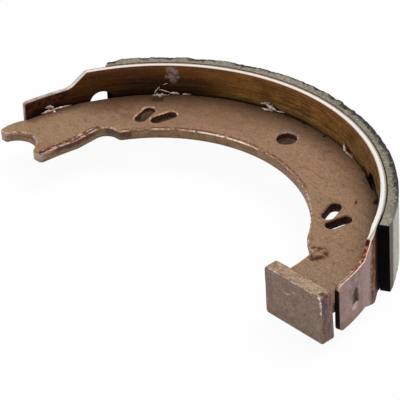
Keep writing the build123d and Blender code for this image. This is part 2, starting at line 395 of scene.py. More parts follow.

    # Edges rubbed through to pale pinkish metal, in dashes, with a rusty line beside some of them; painted
    # highlights on the slots' far lips and ends
    dash = f.noise(0.6, 4, 0.7, shift=8)
    rim_of_top = f.facing_up.band(0.74, 0.82, 0.95, 0.995)
    bevel_face = f.facing_up.band(0.2, 0.4, 0.8, 0.9)
    tone.add(bevel_face * 0.85, f.mix(dash.rise(0.4, 0.54), (120, 82, 62), (172, 138, 116)))
    near_hole = f.spot(on_web(*hold_down_hole), 4.3, 0.3)
    pale = either(rim_of_top, bevel_face * flecks.rise(0.44, 0.56))
    pale = pale * (1 - either(inside, near_hole) * 0.75)
    tone.add(pale * dash.rise(0.44, 0.56), (222, 186, 164))
    tone.add(pale * dash.rise(0.56, 0.64), (250, 226, 208))
    bright_run = angle.band(94, 100, 117, 124) * radius.rise(56, 55)
    arc_line = (radius + sway * 0.35).rise(53, 52.85) * (1 - wall)
    tone.add(arc_line * bright_run * dash.rise(0.36, 0.46), (252, 226, 210))
    arc_dashes = (radius + sway * 0.6).rise(52.8, 53.1) * zone(0.6, 53.9, 53.5, 108, 112, 121, 126)
    tone.add(arc_dashes * flecks.rise(0.46, 0.54) * top * 0.85, (84, 34, 28))
    # On each slot's far lip, the side that faces the light: a painted highlight on the left pair,
    # orange-brown rust on the right pair
    for x, y, direction in spring_slots:
        middle = Vector((x, y, web_top))
        run = Vector(on_arc(1, direction, 0)) * slot_half_run
        far = Vector(on_arc(1, direction + 90, 0))
        lip = f.stroke(middle - run, middle + run, 2.35, 0.4, 0.6, fray)
        lit_far_side = (f.x * far.x + f.y * far.y).rise(middle.dot(far) + 0.2, middle.dot(far) + 1.6)
        lip_highlight_and_rust = ((176, 112, 76), (240, 196, 170)) if x < 0 else ((96, 52, 38), (150, 108, 88))
        strength = 0.3 + 0.6 * dash.rise(0.42, 0.52)
        tone.add(lip * lit_far_side * (1 - wall) * strength, f.mix(flecks.rise(0.44, 0.6), *lip_highlight_and_rust))
    slot_glints = either(
        mark(-48.9, 43.4, -48.7, 44.3, 0.2, 0.35, 0.7),
        mark(-47.4, 46, -46.7, 46.2, 0.2, 0.35, 0.7),
        mark(-41.5, 47.4, -41.1, 48.2, 0.15, 0.35, 0.7),
        mark(-38.8, 49.2, -37.9, 48.9, 0.2, 0.35, 0.7),
    )
    tone.add(slot_glints * (1 - wall) * 0.8, (236, 200, 178))
    arc_edge = zone(0.9, 54.2, 53.5, 56, 66, 144, 149)
    tone.add(arc_edge * top * dash.rise(0.42, 0.52) * 0.8, (104, 54, 38))

    # Rust: a ring by the block, a spot near its slots, scraped rust along the notch side
    ring = f.distance(on_web(53.2, 23.6)) + sway * 3.6 + (flecks - 0.5) * 2.4
    gaps = f.noise(0.5, 2, shift=4.2).rise(0.42, 0.5)
    blot = f.noise(0.8, 4, 0.7, shift=37)
    tone.add(f.spot(on_web(53.3, 23.7), 2.4, 2.4) * top * blot.rise(0.42, 0.54) * 0.8, (116, 70, 48))
    ring_mask = ring.band(1.5, 2.4, 3.2, 4.4) * gaps * blot.rise(0.42, 0.5)
    tone.add(ring_mask * top, f.mix(flecks.rise(0.46, 0.54), (108, 54, 32), (44, 18, 10)))
    low_arc = mark(54.6, 20.2, 55.6, 23.2, 0.4, 0.7, 3.2)
    tone.add(low_arc * top, f.mix(flecks.rise(0.44, 0.54), (98, 48, 30), (44, 18, 12)))
    spot = f.stroke(on_web(42.9, 52), on_web(42.3, 52.6), 0.3, 0.5, 2.2, blot)
    tone.add(spot * top, (70, 30, 10))
    oval = mark(-50.3, 50, -48.8, 51.5, 0.9, 1, 2.4)
    tone.add(oval * top * (0.7 + 0.3 * grain.rise(0.42, 0.58)), (60, 40, 16))
    halo = mark(-57.5, 3.4, -54.6, 5.4, 1.4, 2.6, 4.6) * mottle.rise(0.36, 0.56)
    tone.add(halo * top * 0.7, (158, 104, 70))
    tone.add(halo * top * speckle.rise(0.52, 0.62) * 0.7, (110, 62, 38))
    edge_away = either(
        mark(-53.2, 3, -51.4, 15.5, 1.2, 1.5, 3.6),
        mark(-51.4, 15.5, -51, 24, 1.1, 1.5, 3.6),
    )
    tone.add(edge_away * top * 0.85, (122, 64, 50))
    tone.add(edge_away * top * blot.rise(0.46, 0.56) * 0.85, (64, 32, 28))
    scratches = f.noise(1, 3, 0.6, at=f.stretched(2.6, 0.5, 1), shift=14)
    tone.add(edge_away * top * scratches.rise(0.57, 0.62), (240, 206, 188))
    tone.add(mark(-54.2, 1.9, -53.7, 2.9, 0.6, 0.4, 1) * top, (58, 24, 12))
    fleck_zone = f.y.rise(30, 12) * f.x.rise(-40, -50)
    tone.add(fleck_zone * top * flecks.rise(0.68, 0.74) * 0.6, (120, 70, 50))
    above_slots = f.spot(on_web(-50, 45.5), 2.6, 4) * fray.rise(0.55, 0.64) * (1 - inside)
    tone.add(above_slots * top * 0.75, (92, 44, 28))

    # Freckles and the fine unevenness of thin sprayed primer
    tone.add(f.noise(0.7, 3, 0.55, shift=17).rise(0.66, 0.72) * 0.6, (84, 54, 36))
    dots = either(
        f.spot(on_web(-2.4, 74), 0.5, 0.4),
        f.spot(on_web(-9.8, 73.6), 0.4, 0.4),
        f.spot(on_web(8, 72.8), 0.4, 0.3),
    )
    tone.add(dots, (36, 22, 16))
    tone.add(cracks_and_gap_shadow, f.mix(angle.band(62.6, 62, 55, 54), (44, 16, 12), (9, 6, 5)))
    unevenness = (grain - 0.5) * 2.2 + (speckle - 0.5) * 0.9 + (drawn - 0.5) * 1.3
    tone.shade(1 + unevenness * (0.8 + 0.3 * f.x.rise(-40, 40)))
    worn = pale * dash.rise(0.5, 0.62)
    height = grain * 0.55 + speckle * 0.25 + mottle * 0.2
    roughness = 0.44 + mottle * 0.26 + inside * 0.2 - worn * 0.12
    return f.finished(tone, roughness, height, 0.08, metallic=worn * 0.4)


def rim_paint():
    """Thin dark primer, streaked along the strip; ground bright on edge; mauve and rusty outside."""
    f = Finish("rim_paint", 0.14)
    radius = f.radius()
    angle = f.angle()
    facing_out = f.facing_out()
    inner = facing_out.rise(-0.35, -0.7)
    outer = facing_out.rise(0.35, 0.7)
    up = f.facing_up.rise(0.55, 0.9)
    streaks = f.noise(1, 5, 0.68, at=f.along(0.045, 1.5))
    fine = f.noise(1, 4, 0.66, at=f.along(0.14, 2.8), shift=6)
    cloud = f.noise(0.09, 3, 0.6, shift=3)
    mottle = f.noise(0.45, 4, 0.65, shift=12)
    grain = f.noise(1.9, 4, 0.72)
    fray = f.noise(1.2, 5, 0.75, shift=9)
    sway = fray - 0.5
    mark = f.marker(on_rim, fray)

    # Inner face: orange-brown towards the block and near the edge, with painted shade, almost black, low
    # down by the notch
    tone = f.coat(angle.rise(138, 108), (84, 48, 17), (128, 86, 36))
    tone.add(angle.rise(98, 50), (130, 94, 55))
    deep_shade = (f.z + (mottle - 0.5) * 3).rise(9.6, 6.6) * angle.band(112, 126, 140, 150)
    tone.add(deep_shade * 0.8, (38, 19, 4))
    tone.add(cloud.rise(0.5, 0.66) * angle.rise(150, 120) * 0.45, (62, 46, 14))
    streakiness = 0.3 + 0.3 * angle.rise(110, 70)
    tone.add(streaks.rise(0.5, 0.68) * streakiness, (146, 98, 44))
    tone.add(streaks.rise(0.47, 0.32) * streakiness, (60, 34, 8))
    tone.add(fine.rise(0.54, 0.68) * angle.rise(135, 90) * 0.4, (164, 118, 66))
    specks = f.noise(1, 3, 0.7, at=f.along(0.5, 2.4), shift=44)
    tone.add(specks.rise(0.54, 0.63) * angle.rise(140, 104) * 0.55, (72, 36, 14))
    lip = f.z.rise(10.6, 12.3) * angle.rise(30, 60)
    tone.add(lip * (0.25 + 0.5 * streaks.rise(0.4, 0.6)), (128, 78, 40))
    rub_height = f.z + (f.noise(0.12, 2, shift=1) - 0.5) * 1.6
    rub = rub_height.band(2.7, 3.4, 3.9, 4.8) * angle.band(40, 52, 92, 122)
    tone.add(rub * (0.1 + 0.65 * specks.rise(0.54, 0.46)), (138, 114, 74))
    # Painted shade in the corner where the inner face meets the web, deepest by the notch
    foot = (f.z + sway * 1.2).rise(2.5, 1.6) * angle.rise(170, 158)
    tone.add(foot * (0.3 + 0.55 * angle.rise(84, 96)), (30, 18, 10))
    root = f.z.rise(6, 2.4) * angle.rise(112, 124)
    tone.add(root * 0.6, (30, 13, 4))
    heat = either(
        mark(130.8, 10.8, 130.1, 10.2, 0.9, 1.1, 2.4),
        mark(130.6, 8.8, 130.1, 7, 0.7, 1, 2.4),
        mark(131.8, 8.2, 128.9, 8, 0.1, 1, 2.6),
    )
    tone.add(heat * inner * mottle.rise(0.34, 0.58) * 0.85, (152, 130, 122))
    glints = f.noise(1.7, 3, 0.6, shift=21).rise(0.69, 0.75)
    tone.add(glints * 0.55, (200, 165, 110))
    notch_end = angle.rise(156, 160)
    blot = f.noise(0.55, 4, 0.7, shift=27)
    tone.add(notch_end * blot.rise(0.4, 0.54) * 0.8, (82, 36, 26))
    tone.add(notch_end * blot.rise(0.5, 0.58) * 0.85, (32, 12, 10))
    # Painted shadow under the weld by the notch
    shadow_by_weld = mark(160.5, 2, 168, 2.4, 0.6, 1.6, 2.4)
    tone.add(shadow_by_weld * 0.8, (22, 8, 8))
    red_streak = either(
        mark(55.6, 10.6, 52.9, 9, 0.3, 0.8, 1.8),
        mark(66, 1.8, 63.8, 1.8, 0.35, 0.4, 0.6),
    )
    tone.add(red_streak, (84, 24, 22))
    # Painted light: below the web the inner face is painted lighter, for light thrown up from the floor
    tone.add(inner * f.z.rise(-1.6, -2.4), f.mix(mottle.rise(0.4, 0.6), (156, 126, 102), (124, 96, 76)))
    # Painted shade: the rim's end face, in the narrow gap behind the block, is near black, and the inner
    # face beside the block is darkened
    facing_tip = f.vector_maths("DOT_PRODUCT", f.normal, on_arc(1, -83.8, 0))
    shaded_tip = facing_tip.rise(0.5, 0.8) * angle.rise(10, 8)
    by_block = inner * (angle + (blot - 0.5) * 11).rise(12.5, 7) * 0.6
    tone.add(either(by_block, shaded_tip), (20, 10, 7))
    # Painted shade: the bore's wall and a streak beside it on the inner face are near black, for the dark
    # of the hole and the open joint
    shaded_bore = f.spot(on_arc(75.6, 59.3, 0), 4.7, 0.3) * (1 - inner) * (1 - outer)
    shadow_beside_bore = mark(60.6, 2.8, 56.6, 1.5, 1.1, 0.4, 0.8)
    tone.add(either(shaded_bore, shadow_beside_bore), (8, 5, 4))

    # Outer face of the bare ends: mauve, lighter high up, rusty brown low down and beside the lining
    soft = f.noise(0.22, 3, 0.5, shift=33)
    outside = f.coat(soft.rise(0.38, 0.62), (172, 144, 140), (150, 119, 110))
    outside.add(mottle.rise(0.52, 0.66) * 0.4, (128, 96, 92))
    outside.add(angle.rise(12, 19.5) * f.z.rise(-8, -1) * 0.6, (184, 158, 152))
    outside.add(f.z.rise(-3, -8) * angle.rise(18, 10) * 0.7, (148, 118, 96))
    rust_reach = angle + sway * 7 - f.z.rise(2, 8) * 0.8
    by_lining = rust_reach.rise(19.8, 22.4) * angle.rise(60, 50)
    outside.add(by_lining * 0.95, (160, 96, 60))
    outside.add(by_lining * blot.rise(0.41, 0.49) * 0.95, (58, 26, 17))
    outside.add(by_lining * fray.rise(0.38, 0.3) * 0.8, (226, 176, 142))
    outside.add((angle + sway * 2.6).rise(23.8, 25.8) * angle.rise(60, 50) * 0.92, (26, 12, 8))
    outer_mark = f.marker(lambda angle, height: on_arc(77.5, angle, height), fray)
    scratches = either(
        outer_mark(22.4, -6.6, 24, -3.2, 0.12, 0.22, 0.4),
        outer_mark(23.3, -7.6, 24.6, -5.2, 0.12, 0.2, 0.4),
        f.stroke(on_arc(77.4, 24.2, -2.6), on_arc(77.3, 25.2, -0.2), 0.08, 0.2, 0.4, fray),
        f.stroke(on_arc(77.5, 23.8, -9.4), on_arc(77.4, 24.8, -8.4), 0.1, 0.2, 0.4, fray),
    )
    outside.add(scratches * 0.85, (240, 196, 164))
    in_dimple = f.stroke(on_arc(77.5, 13.2, 1.2), on_arc(77.5, 13.2, -2.8), 1.75, 0.25)
    above_dimple = f.stroke(on_arc(77.9, 12.8, 3.4), on_arc(77.9, 13.8, 3.8), 0.4, 1.4)
    outside.add(above_dimple * 0.6, (128, 98, 108))
    # Painted shadow beside the dimple and a painted highlight below it
    shadow_beside_dimple = f.stroke(on_arc(77.9, 11.75, 1), on_arc(77.9, 11.75, -2.6), 0.3, 0.6)
    outside.add(shadow_beside_dimple * 0.6, (108, 82, 84))
    highlight_below_dimple = f.stroke(on_arc(77.9, 12, -3.8), on_arc(77.9, 12.8, -4.1), 0.2, 1.4, 0.8, fray)
    outside.add(highlight_below_dimple * 0.75, (226, 198, 198))
    tone.add(outer, outside)

    # Edge: ground silver where the strip has its full width, rust on the tapered end, dull on the other
    ground = up * angle.band(22, 22.6, 156.6, 158.5)
    worn_edge = f.coat(angle.rise(100, 40), (250, 240, 232), (243, 242, 238))
    worn_edge.add(fine.rise(0.54, 0.7) * 0.25, (216, 204, 192))
    burr = (radius + sway * 0.5).rise(75.95, 76.25)
    worn_edge.add(burr * 0.85, f.mix(angle.rise(110, 70), (122, 98, 84), (172, 156, 140)))
    burr_in = (radius + sway * 0.4).rise(75.3, 74.95) * angle.rise(40, 50)
    worn_edge.add(burr_in * 0.6, (172, 150, 134))
    rusty = f.coat(angle.rise(9, 15), (172, 146, 118), (190, 138, 106))
    rusty.add(blot.rise(0.48, 0.56) * 0.9, f.mix(angle.rise(12, 17), (120, 92, 70), (112, 52, 30)))
    rusty.add(fray.rise(0.53, 0.6) * 0.8, (78, 36, 24))
    rusty.add(grain.rise(0.42, 0.32) * 0.6, (226, 192, 168))
    pits = either(
        f.stroke(on_arc(76.3, 21.7, 12.2), on_arc(76.4, 21.2, 11.8), 0.6, 0.3, 1, fray),
        f.stroke(on_arc(76.6, 19.9, 10.6), on_arc(76.6, 19.4, 10.2), 0.1, 0.4, 1.2, fray),
    )
    rusty.add(pits, (64, 14, 12))
    dull = f.coat(mottle.rise(0.4, 0.6), (206, 188, 178), (158, 136, 124))
    dull.add((radius + sway * 0.4).rise(75.1, 74.7) * 0.6, (128, 104, 92))
    ends = f.mix(angle.rise(80, 90), rusty, dull)
    edge_zone = facing_out.maths("ABSOLUTE").rise(0.75, 0.5) * f.facing_up.rise(0.02, 0.2) * (1 - in_dimple)
    tone.add(edge_zone, ends)
    tone.add(ground, worn_edge)
    # Painted shade in the dimple's pocket, darker deeper and lower down, with a painted highlight on its
    # up-facing wall
    pocket = in_dimple * radius.rise(77.86, 77.66)
    pocket_shade = f.coat(radius.rise(77.7, 77.2), (132, 106, 106), (84, 62, 58))
    pocket_shade.add(f.z.rise(-1.6, -3.2), (60, 42, 32))
    tone.add(pocket * 0.95, pocket_shade)
    tone.add(pocket * f.facing_up.rise(0.15, 0.5), (226, 204, 200))

    # The outer corner of the tapered end is rubbed to a thin pale line
    corner = facing_out.band(0.25, 0.45, 0.85, 0.97) * f.facing_up.rise(0.1, 0.3)
    corner = either(corner, edge_zone * (radius + 1.6 * ((angle - 6) / 22.4) ** 3).rise(77.6, 77.8))
    corner = corner * (1 - in_dimple) * angle.rise(26, 22)
    tone.add(corner * fray.rise(0.66, 0.5), (250, 214, 196))
    lengthwise = (0.9 + 2.2 * angle.rise(135, 90)) * (1 - outer)
    contrast = (grain - 0.5) * (2 - outer * 0.7) + (fine - 0.5) * lengthwise + (mottle - 0.5) * 0.6
    tone.shade(1 + contrast * (1 - ground * 0.85))

    roughness = 0.5 + streaks * 0.2 - ground * 0.22
    return f.finished(tone, roughness, streaks * 0.4 + grain * 0.6, 0.06, metallic=ground * 0.15)


def friction_lining():
    """Friction material: grey-green and speckled, dark where broken, pale outside, black at its ends."""
    f = Finish("friction_lining", 0.12)
    broken = f.attribute("broken")
    end_face = f.attribute("end_face")
    radius = f.radius()
    angle = f.angle()
    speck = f.noise(2.2, 4, 0.78)
    flake = f.noise(1, 4, 0.65, shift=7)
    sway = flake - 0.5
    cloud = f.noise(0.2, 3, 0.5, shift=2)
    side = f.coat(cloud.rise(0.4, 0.6), (136, 129, 114), (150, 141, 125))
    side.add(flake.rise(0.5, 0.64) * 0.7, (98, 92, 82))
    side.add(flake.rise(0.46, 0.34) * 0.55, (188, 178, 160))
    side.add(speck.rise(0.55, 0.68) * 0.7, (70, 68, 62))
    side.add(speck.rise(0.44, 0.34) * 0.55, (212, 203, 186))
    outer_half = (radius + sway * 2.4).rise(78.4, 79) * angle.band(96, 74, 50, 36)
    side.add(outer_half * 0.68, f.mix(speck.rise(0.46, 0.36), (78, 71, 62), (206, 200, 188)))
    inner_line = (radius + sway * 0.6).rise(77.3, 76.95) * (0.3 + 0.55 * angle.rise(80, 100))
    side.add(inner_line, (88, 68, 54))
    worn = f.coat(cloud.rise(0.3, 0.7), (199, 196, 187), (189, 185, 175))
    worn.add(flake.rise(0.5, 0.66) * 0.6, (154, 149, 138))
    worn.add(speck.rise(0.57, 0.7) * 0.65, (116, 110, 100))
    outer = f.facing_out().rise(0.5, 0.85)
    tone = f.coat(outer, side, worn)
    char = f.coat(speck.rise(0.4, 0.58), (78, 78, 73), (18, 19, 18))
    char.add(flake.rise(0.42, 0.32) * 0.6, (150, 142, 128))
    char.add(speck.rise(0.38, 0.32) * 0.9, (232, 228, 218))
    band = 1.9 * f.noise(0.3, 2, 0.5, shift=19) * angle.rise(34, 46) * (0.45 + 1.3 * angle.rise(92, 74))
    stain = (radius + sway * 1 + band).rise(lining_outer_radius - 0.1, lining_outer_radius + 0.35)
    stain = stain * (1 - outer)
    tone.add(either(broken * angle.rise(30, 42), stain * flake.rise(0.36, 0.52)) * 0.92, char)
    tone.add(broken * angle.rise(44, 36) * 0.6, (108, 103, 98))
    strip = outer * (angle + sway * 1.6).rise(31.8, 30.6)
    tone.add(strip * 0.85, (92, 84, 84))
    far_end = (angle + sway * 1).rise(144.2, 145) * radius.rise(77.8, 78.7)
    shadow_band_and_black_ends = f.mix(speck.rise(0.5, 0.66), (0, 0, 0), (22, 19, 22))
    hidden = radius.rise(76.85, 76.75) * f.z.maths("ABSOLUTE").rise(11, 10)
    tone.add(either(end_face, far_end * 0.95, hidden), shadow_band_and_black_ends)
    by_block = angle.band(100, 76, 44, 34) * (1 - outer)
    tone.shade(1 - 0.07 * by_block + (speck - 0.5) * (0.8 + 2.6 * by_block))
    return f.finished(tone, 0.74 + speck * 0.2, speck * 0.5 + flake * 0.5, 0.25)


def bond_film():
    """Baked adhesive: brown where it shows above and below, black between."""
    f = Finish("bond_film", 0.1)
    tone = f.coat(f.noise(1.5, 3).rise(0.4, 0.65), (150, 130, 110), (96, 76, 62))
    tone.add(f.angle().rise(92, 72) * 0.7, (150, 138, 122))
    middle = either(f.z.maths("ABSOLUTE").rise(9, 6), f.angle().rise(34, 32))
    tone.add(middle, (8, 5, 4))
    return f.finished(tone, 0.6, f.noise(2, 3), 0.04)


def weld_metal():
    """Metal thrown out by the welds: pale, with a painted highlight on its crests and painted shade in its
    folds.
    """
    f = Finish("weld_metal", 0.3)
    crest_highlight = f.attribute("crest_highlight")
    grain = f.noise(2.6, 4, 0.7)
    tone = f.coat((crest_highlight + (grain - 0.5) * 0.8).rise(0.34, 0.62), (42, 26, 18), (206, 178, 162))
    tone.add((crest_highlight + (grain - 0.5) * 0.6).rise(0.7, 0.9), (250, 238, 228))
    tone.add(f.noise(0.8, 3, 0.6, shift=5).rise(0.52, 0.62) * 0.7, (150, 104, 60))
    bright = crest_highlight.rise(0.5, 0.9)
    return f.finished(tone, 0.5 - bright * 0.15, grain, 0.14, metallic=bright * 0.3)


def block_paint():
    """Brown-grey primer: tan on top, purplish on its sides, chipped along the front edges."""
    f = Finish("block_paint", 0.22)
    grain = f.noise(1.8, 4, 0.74)
    mottle = f.noise(0.5, 4, 0.65, shift=4)
    fray = f.noise(1.4, 5, 0.75, shift=2)
    sway = fray - 0.5
    mark = f.marker(lambda x, z: (x, block_front, z), fray)
    chip = f.marker(lambda x, z: (x, block_front + 0.1, z), fray)
    rolled = f.noise(1, 4, 0.65, at=f.stretched(1.6, 1.6, 0.35))
    facing_front = f.part(f.normal, "Y") * -1
    facing_right = f.part(f.normal, "X")
    top = f.facing_up.rise(0.7, 0.95)
    front = facing_front.rise(0.7, 0.95)
    right = facing_right.rise(0.7, 0.95)

    tone = f.coat(mottle.rise(0.38, 0.62), (138, 117, 101), (125, 103, 89))
    tone.add((f.x + sway * 2).rise(57.6, 55.4) * front * 0.55, (118, 96, 94))
    tone.add(top, f.mix(mottle.rise(0.4, 0.6), (173, 147, 122), (146, 118, 94)))
    tone.add(top * fray.rise(0.54, 0.64) * 0.5, (204, 176, 150))
    tone.add(right, f.mix(rolled.rise(0.4, 0.6), (140, 108, 101), (112, 82, 78)))
    tone.add(f.z.rise(-2, -8) * front * 0.3, (116, 94, 80))

    # Rust tints, the bruised top corner, and a painted shadow line along the back edge of the top
    tint = either(
        mark(55, -5.6, 55.6, -6.6, 0.5, 1.2, 2.4),
        mark(54, -2.2, 54, -3.6, 0.2, 0.7, 1.4),
    )
    tone.add(tint * 0.5, (170, 112, 82))
    bruise = f.stroke((77.4, 1.4, 6.6), (77.4, 2.4, 4), 0.5, 1.4, 2, fray)
    tone.add(bruise * right * 0.75, (84, 66, 88))
    dark_corner = f.stroke((76, 2.6, 8.4), (77.2, 3.4, 8), 0.5, 0.6, 1.6, fray)
    tone.add(dark_corner * 0.9, (74, 32, 28))
    # Painted shadow along the top's back edge, where the web lies behind
    shadow_line_behind_top = f.stroke((55, 5.6, 8.6), (76, 5.6, 8.4), 0.1, 0.35, 1.6, fray)
    tone.add(shadow_line_behind_top * 0.7, (110, 66, 46))

    # Scratch across the front
    scratch = either(
        mark(61.4, 2.9, 62.2, 2.5, 0.08, 0.22, 0.3),
        mark(62.5, 2.6, 63.9, 3.1, 0.12, 0.2, 0.3),
        mark(65.2, 4.4, 65.8, 4.7, 0.06, 0.22, 0.3),
    )
    tone.add(scratch * 0.75, (196, 176, 164))

    # Edges chipped to bright metal
    dash = f.noise(0.7, 4, 0.72, shift=13)
    flatness = either(*(facing.maths("ABSOLUTE") for facing in (f.facing_up, facing_front, facing_right)))
    edge = flatness.rise(0.95, 0.82)
    near_front = f.y.rise(2.1, 1.3)
    tone.add(edge * 0.35, (160, 130, 114))
    tone.add(edge * near_front * dash.rise(0.46, 0.56) * f.z.rise(-3, 6) * 0.85, (212, 182, 166))
    tone.add(edge * dash.rise(0.44, 0.34) * 0.7, (84, 56, 46))
    chips = either(
        mark(64.8, 8.4, 66.8, 8.35, 0, 0.32, 0.7),
        mark(71, 8.3, 73.6, 8.3, 0, 0.3, 0.8),
        chip(76.2, 8, 76.9, 7.6, 0.1, 0.4, 1.2),
        chip(77, 6.6, 77.1, 4.9, 0.15, 0.35, 2),
        chip(77.1, 2.6, 77.1, 1.9, 0.1, 0.3, 1.4),
        chip(53.1, 3, 53, -0.6, 0, 0.3, 1.2),
        chip(54.6, 8.5, 57.6, 8.45, 0, 0.3, 0.8),
    )
    tone.add(chips * grain.rise(0.4, 0.5), (236, 216, 204))
    tone.shade(1 + (grain - 0.5) * 2.2 + sway * 0.8)
    roughness = 0.5 + mottle * 0.2 - chips * 0.15
    return f.finished(tone, roughness, grain * 0.6 + mottle * 0.4, 0.09, metallic=chips * 0.3)


# ---------------------------------------------------------------- pieces


def ripple(along, spacing, seed):
    """Smooth random curve in 0 to 1: a random value every spacing, joined by S-curves."""
    steps = np.asarray(along, float) / spacing
    whole = np.floor(steps).astype(int)
    first = whole.min()
    values = np.random.default_rng(seed).random(whole.max() - first + 2)
    share = steps - whole
    share = share * share * (3 - 2 * share)
    return values[whole - first] * (1 - share) + values[whole - first + 1] * share


def crumple(along, across, spacing, seed):
    """Smooth random field in 0 to 1: a random value at each crossing of a net, joined by S-curves."""
    steps = [np.asarray(v, float) / spacing for v in np.broadcast_arrays(along, across)]
    whole = [np.floor(v).astype(int) for v in steps]
    place = [v - v.min() for v in whole]
    values = np.random.default_rng(seed).random([v.max() + 2 for v in place])
    share_a, share_b = ((t - w) ** 2 * (3 - 2 * (t - w)) for t, w in zip(steps, whole))
    a, b = place
    near = values[a, b] * (1 - share_a) + values[a + 1, b] * share_a
    far = values[a, b + 1] * (1 - share_a) + values[a + 1, b + 1] * share_a
    return near * (1 - share_b) + far * share_b


def ramp(value, start, end):
    """0 at start, 1 at end, straight between."""
    return np.clip((value - start) / (end - start), 0, 1)


def finished_piece(name, mesh, material, replaced):
    """Puts a mesh in the scene as a piece that rides on the shoe and stands for CAD nodes."""
    piece = bpy.data.objects.new(name, mesh)
    bpy.context.scene.collection.objects.link(piece)
    mesh.materials.append(material)
    mesh.polygons.foreach_set("use_smooth", [True] * len(mesh.polygons))
    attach(piece, "root")
    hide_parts(*replaced)
    return piece


def softened(node, material, width):
    """The node's own solid with every sharp edge rounded to a small radius."""
    same_point, flat_joint, sharp_edge = 1e-6, radians(0.4), radians(28)
    bm = bmesh.new()
    bm.from_mesh(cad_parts[node].data)
    bmesh.ops.remove_doubles(bm, verts=bm.verts, dist=same_point)
    bmesh.ops.dissolve_limit(bm, angle_limit=flat_joint, verts=bm.verts, edges=bm.edges)
    mesh = bpy.data.meshes.new(f"{node}_finished")
    bm.to_mesh(mesh)
    bm.free()
    piece = finished_piece(f"{node}_finished", mesh, material, [node])
    rounding = piece.modifiers.new("edge_rounding", "BEVEL")
    rounding.width = width * MM
    rounding.segments = 3
    rounding.limit_method = "ANGLE"
    rounding.angle_limit = sharp_edge
    rounding.harden_normals = True


def lofted_mesh(name, bodies, marks):
    """Mesh of closed bodies, each a stack of rings of points (ring, point, xyz) in millimetres.

    Neighbouring rings are joined by four-sided faces, and each end ring is shut by triangles to its middle.
    marks holds, by name, a number for each point of each body's rings; a middle takes its ring's mean.
    """
    points, faces, first = [], [], 0
    values = {mark: [] for mark in marks}
    for n, rings in enumerate(bodies):
        count, around = rings.shape[:2]
        index = first + np.arange(count * around).reshape(count, around)
        after = np.roll(index, -1, axis=1)
        quads = np.stack([index[:-1], index[1:], after[1:], after[:-1]], -1).reshape(-1, 4)
        low = first + count * around
        low_fan = np.stack([index[0], after[0], np.full(around, low)], -1)
        high_fan = np.stack([after[-1], index[-1], np.full(around, low + 1)], -1)
        middles = rings[[0, -1]].mean(axis=1)
        body = np.concatenate([rings.reshape(-1, 3), middles])
        a, b, c, d = (body[quads[:, k] - first] for k in range(4))
        volume = np.einsum("ij,ij->i", a, np.cross(b, c) + np.cross(c, d)).sum()
        turn = 1 if volume > 0 else -1
        faces += quads[:, ::turn].tolist() + low_fan[:, ::turn].tolist() + high_fan[:, ::turn].tolist()
        points.append(body)
        for mark, levels in marks.items():
            values[mark].append(np.concatenate([levels[n].ravel(), levels[n][[0, -1]].mean(axis=1)]))
        first += len(body)
    mesh = bpy.data.meshes.new(name)
    mesh.from_pydata((np.concatenate(points) * MM).tolist(), [], faces)
    for mark, levels in values.items():
        numbers = np.concatenate(levels).astype(np.float32)
        mesh.attributes.new(mark, "FLOAT", "POINT").data.foreach_set("value", numbers)
    return mesh


